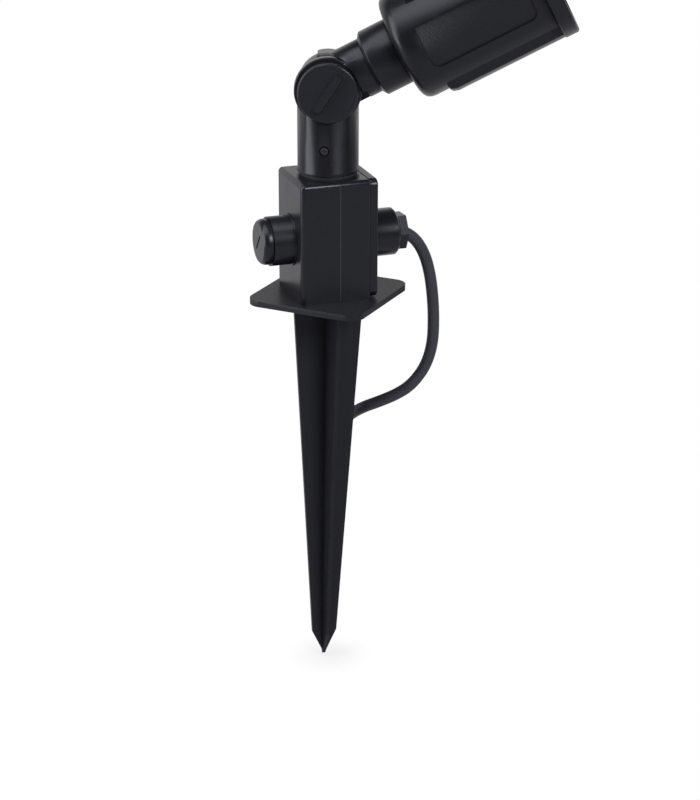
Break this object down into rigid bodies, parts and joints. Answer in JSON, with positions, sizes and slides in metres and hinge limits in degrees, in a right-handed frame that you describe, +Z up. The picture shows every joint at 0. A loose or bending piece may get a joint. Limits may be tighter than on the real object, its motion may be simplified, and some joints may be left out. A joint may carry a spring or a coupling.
{
  "type": "garden spike spotlight",
  "caption": "Black garden spotlight on a tapered ground spike: junction box with cable gland, swivelling stem, lockable knuckle and round lamp head",
  "frame": {"origin": "on the stem's axis at the underside of the ground plate, which is soil level in use", "axes": "+Z up; +X from the blind plug to the cable gland; -Y is the front of the junction box"},
  "size_m": [0.2098, 0.2024, 0.5175],
  "materials": {
    "spike_plastic": "matte moulded nylon, black",
    "box_plastic": "satin moulded plastic, black",
    "stem_plastic": "satin moulded plastic, black",
    "head_plastic": "satin moulded plastic, black",
    "seal_rubber": "black rubber",
    "cable_rubber": "black rubber jacket",
    "terminal_plastic": "pale moulded plastic",
    "screw_steel": "stainless steel",
    "insert_brass": "turned brass",
    "washer_plastic": "nylon washer",
    "driver_plastic": "moulded case, pale grey",
    "plate_aluminium": "machined aluminium",
    "board_white": "white solder mask",
    "emitter_yellow": "yellow phosphor",
    "reflector_metal": "bright satin metal",
    "lens_glass": "clear toughened glass",
    "core_insulation": "core insulation",
    "tie_nylon": "black nylon",
    "brown_insulation": "brown insulation",
    "blue_insulation": "blue insulation",
    "earth_insulation": "green and yellow insulation",
    "ferrule_metal": "tinned crimp sleeves"
  },
  "bodies": {
    "base": {"ground_spike": "spike_plastic", "junction_box": "box_plastic", "cover_gasket": "seal_rubber", "box_cover": "box_plastic", "blind_plug": "box_plastic", "plug_seal": "seal_rubber", "gland_nut": "box_plastic", "gland_seal": "seal_rubber", "stem_seal": "seal_rubber", "terminal_block": "terminal_plastic", "terminal_screws": "screw_steel", "cover_screws": "screw_steel", "foot_screws": "screw_steel", "cable_inner_end": "cable_rubber", "inner_cores": "core_insulation", "lamp_cores": "core_insulation", "lamp_lead": "cable_rubber", "supply_cable": "cable_rubber", "cable_coil": "cable_rubber", "cable_tail": "cable_rubber", "cable_tie": "tie_nylon", "core_brown": "brown_insulation", "core_blue": "blue_insulation", "core_earth": "earth_insulation", "core_ferrules": "ferrule_metal"},
    "stem": {"stem": "stem_plastic", "set_screw": "screw_steel", "knuckle_seal": "seal_rubber", "stem_lead": "cable_rubber"},
    "knob": {"lock_knob": "stem_plastic", "knob_insert": "insert_brass", "knob_washer": "washer_plastic"},
    "head": {"knuckle_neck": "stem_plastic", "pivot_bolt": "screw_steel", "rear_collar": "head_plastic", "collar_seal": "seal_rubber", "head_body": "head_plastic", "driver": "driver_plastic", "heat_plate": "plate_aluminium", "led_board": "board_white", "led_emitter": "emitter_yellow", "board_screws": "screw_steel", "reflector": "reflector_metal", "lens_gasket": "seal_rubber", "front_glass": "lens_glass", "front_bezel": "head_plastic", "bezel_screws": "screw_steel", "head_lead": "cable_rubber", "driver_leads": "core_insulation"}
  },
  "joints": [
    {"name": "stem_swivel", "type": "hinge", "parent": "base", "child": "stem", "pos_m": [0, 0, 0.1], "axis": [0, 0, 1], "range_deg": [-170, 170]},
    {"name": "head_tilt", "type": "hinge", "parent": "stem", "child": "head", "pos_m": [0, 0, 0.1427], "axis": [-0.3272, -0.9449, 0], "range_deg": [-27, 72]},
    {"name": "knob_turn", "type": "hinge", "parent": "stem", "child": "knob", "pos_m": [0, 0, 0.1427], "axis": [-0.3272, -0.9449, 0], "range_deg": [0, 360]}
  ]
}
